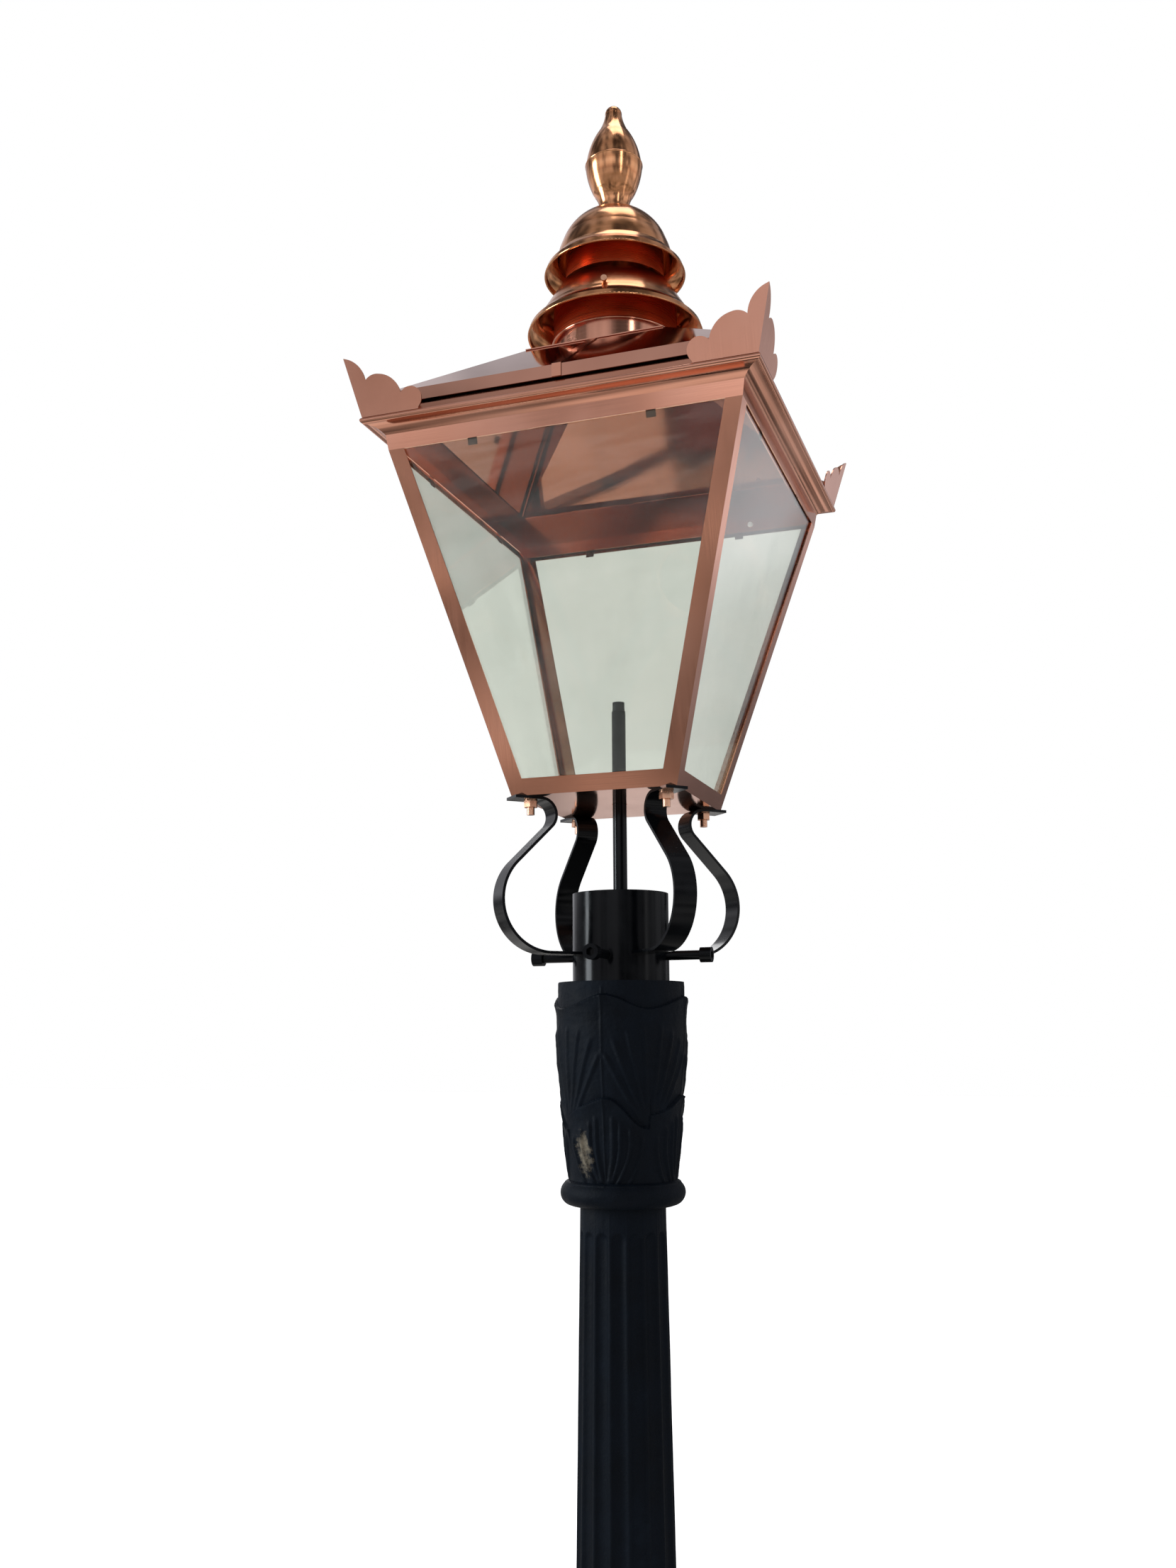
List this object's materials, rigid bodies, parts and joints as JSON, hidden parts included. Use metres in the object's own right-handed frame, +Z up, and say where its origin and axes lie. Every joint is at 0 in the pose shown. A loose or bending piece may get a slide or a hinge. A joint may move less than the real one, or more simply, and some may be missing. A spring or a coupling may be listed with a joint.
{
  "type": "street lamp post",
  "caption": "Heritage street lamp: fluted cast column with a leafy capital carrying a copper four-sided glazed lantern on curled legs, hinged roof with spun cowls and an acorn finial.",
  "frame": {"origin": "middle of the bottom face of the base flange, on the column's axis", "axes": "+Z up the column, -Y towards the access door side, +X towards the lid hinge"},
  "size_m": [0.448, 0.448, 2.704],
  "materials": {
    "cast_iron_paint": "matte blue-black paint, chipped",
    "black_paint": "satin black",
    "steel": "dull zinc grey",
    "brass": "dull brass",
    "copper": "polished copper",
    "spun_copper": "spun copper turned golden brown",
    "glass": "clear",
    "dark_sheet": "dark tarnish",
    "white_plastic": "matte"
  },
  "bodies": {
    "post": {"base_casting": "cast_iron_paint", "fluted_shaft": "cast_iron_paint", "shaft_set_screws": "steel", "capital": "cast_iron_paint", "post_spigot": "cast_iron_paint", "door_hinge_knuckles": "steel", "door_hinge_pins": "steel"},
    "door": {"access_door": "cast_iron_paint"},
    "lock": {"lock_spindle": "steel", "lock_cam": "steel"},
    "lantern": {"collar": "black_paint", "leg_front_right": "black_paint", "leg_back_right": "black_paint", "leg_back_left": "black_paint", "leg_front_left": "black_paint", "corner_post_front_right": "copper", "corner_post_back_right": "copper", "corner_post_back_left": "copper", "corner_post_front_left": "copper", "ear_front_right": "copper", "ear_back_right": "copper", "ear_back_left": "copper", "ear_front_left": "copper", "clamp_screws": "black_paint", "leg_studs": "brass", "leg_nuts": "brass", "pipe_bridge": "black_paint", "pipe": "copper", "pipe_nipple": "steel", "pipe_locknuts": "steel", "floor_plate": "copper", "bottom_frame": "copper", "top_rail_front": "copper", "top_rail_right": "copper", "top_rail_back": "copper", "top_rail_left": "copper", "glass_front": "glass", "glass_right": "glass", "glass_back": "glass", "glass_left": "glass", "glazing_clips": "dark_sheet", "lid_upstand": "copper", "bump_stop": "white_plastic", "lid_hinge_fixed_leaf": "copper", "lid_hinge_pin": "steel"},
    "lid": {"lid_hinge_moving_leaf": "copper", "roof_right_half": "copper", "roof_left_half": "copper", "roof_seam_strips": "copper", "roof_crown": "copper", "chimney_tube": "copper", "lower_cowl": "spun_copper", "cowl_screws": "brass", "upper_tube": "copper", "cowl_bridge": "steel", "dome_cowl": "spun_copper", "finial_lower": "spun_copper", "finial_upper": "spun_copper", "thumb_screw_nut": "brass"},
    "thumb_screw": {"thumb_screw": "brass"}
  },
  "joints": [
    {"name": "lantern_swivel", "type": "hinge", "parent": "post", "child": "lantern", "pos_m": [0, 0, 1.7], "axis": [0, 0, 1], "range_deg": [-180, 180]},
    {"name": "lid_hinge", "type": "hinge", "parent": "lantern", "child": "lid", "pos_m": [0.1965, 0, 2.279], "axis": [0, 1, 0], "range_deg": [0, 92]},
    {"name": "thumb_screw_turn", "type": "hinge", "parent": "lid", "child": "thumb_screw", "pos_m": [-0.2, 0, 2.28], "axis": [-1, 0, 0], "continuous": true},
    {"name": "door_hinge", "type": "hinge", "parent": "post", "child": "door", "pos_m": [-0.0355, -0.099, 0.215], "axis": [0, 0, -1], "range_deg": [0, 115]},
    {"name": "lock_turn", "type": "hinge", "parent": "door", "child": "lock", "pos_m": [0.017, -0.1, 0.215], "axis": [0, 1, 0], "range_deg": [0, 90]}
  ]
}
